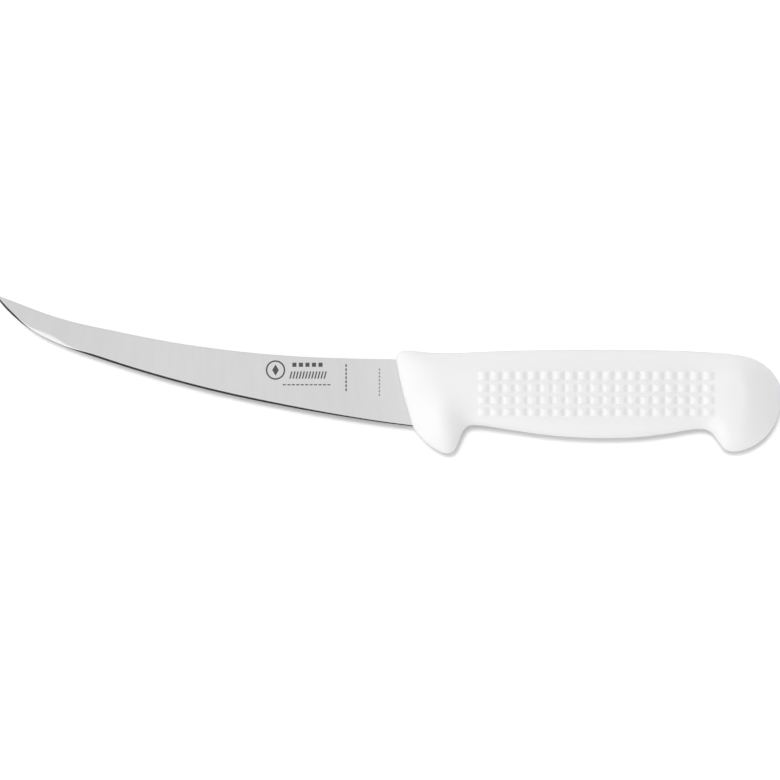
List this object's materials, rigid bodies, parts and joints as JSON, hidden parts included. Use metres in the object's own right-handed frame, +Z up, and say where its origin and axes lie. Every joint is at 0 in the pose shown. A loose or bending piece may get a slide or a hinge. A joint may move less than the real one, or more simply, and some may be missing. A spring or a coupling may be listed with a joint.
{
  "type": "boning knife",
  "caption": "Narrow curved boning knife: ground steel blade with its tang moulded into a white plastic handle that has a finger guard, a studded grip and a hooked butt.",
  "frame": {"origin": "under the middle of the knife's bounding box, on the surface that it lies on, on its side", "axes": "+X from the blade's tip towards the butt, +Y from the cutting edge towards the spine, +Z up through the thickness"},
  "size_m": [0.284, 0.0574, 0.022],
  "materials": {
    "blade_steel": "satin ground stainless steel",
    "handle_plastic": "white moulded polypropylene, fine matt"
  },
  "bodies": {
    "root": {"blade": "blade_steel", "handle": "handle_plastic"}
  },
  "joints": []
}
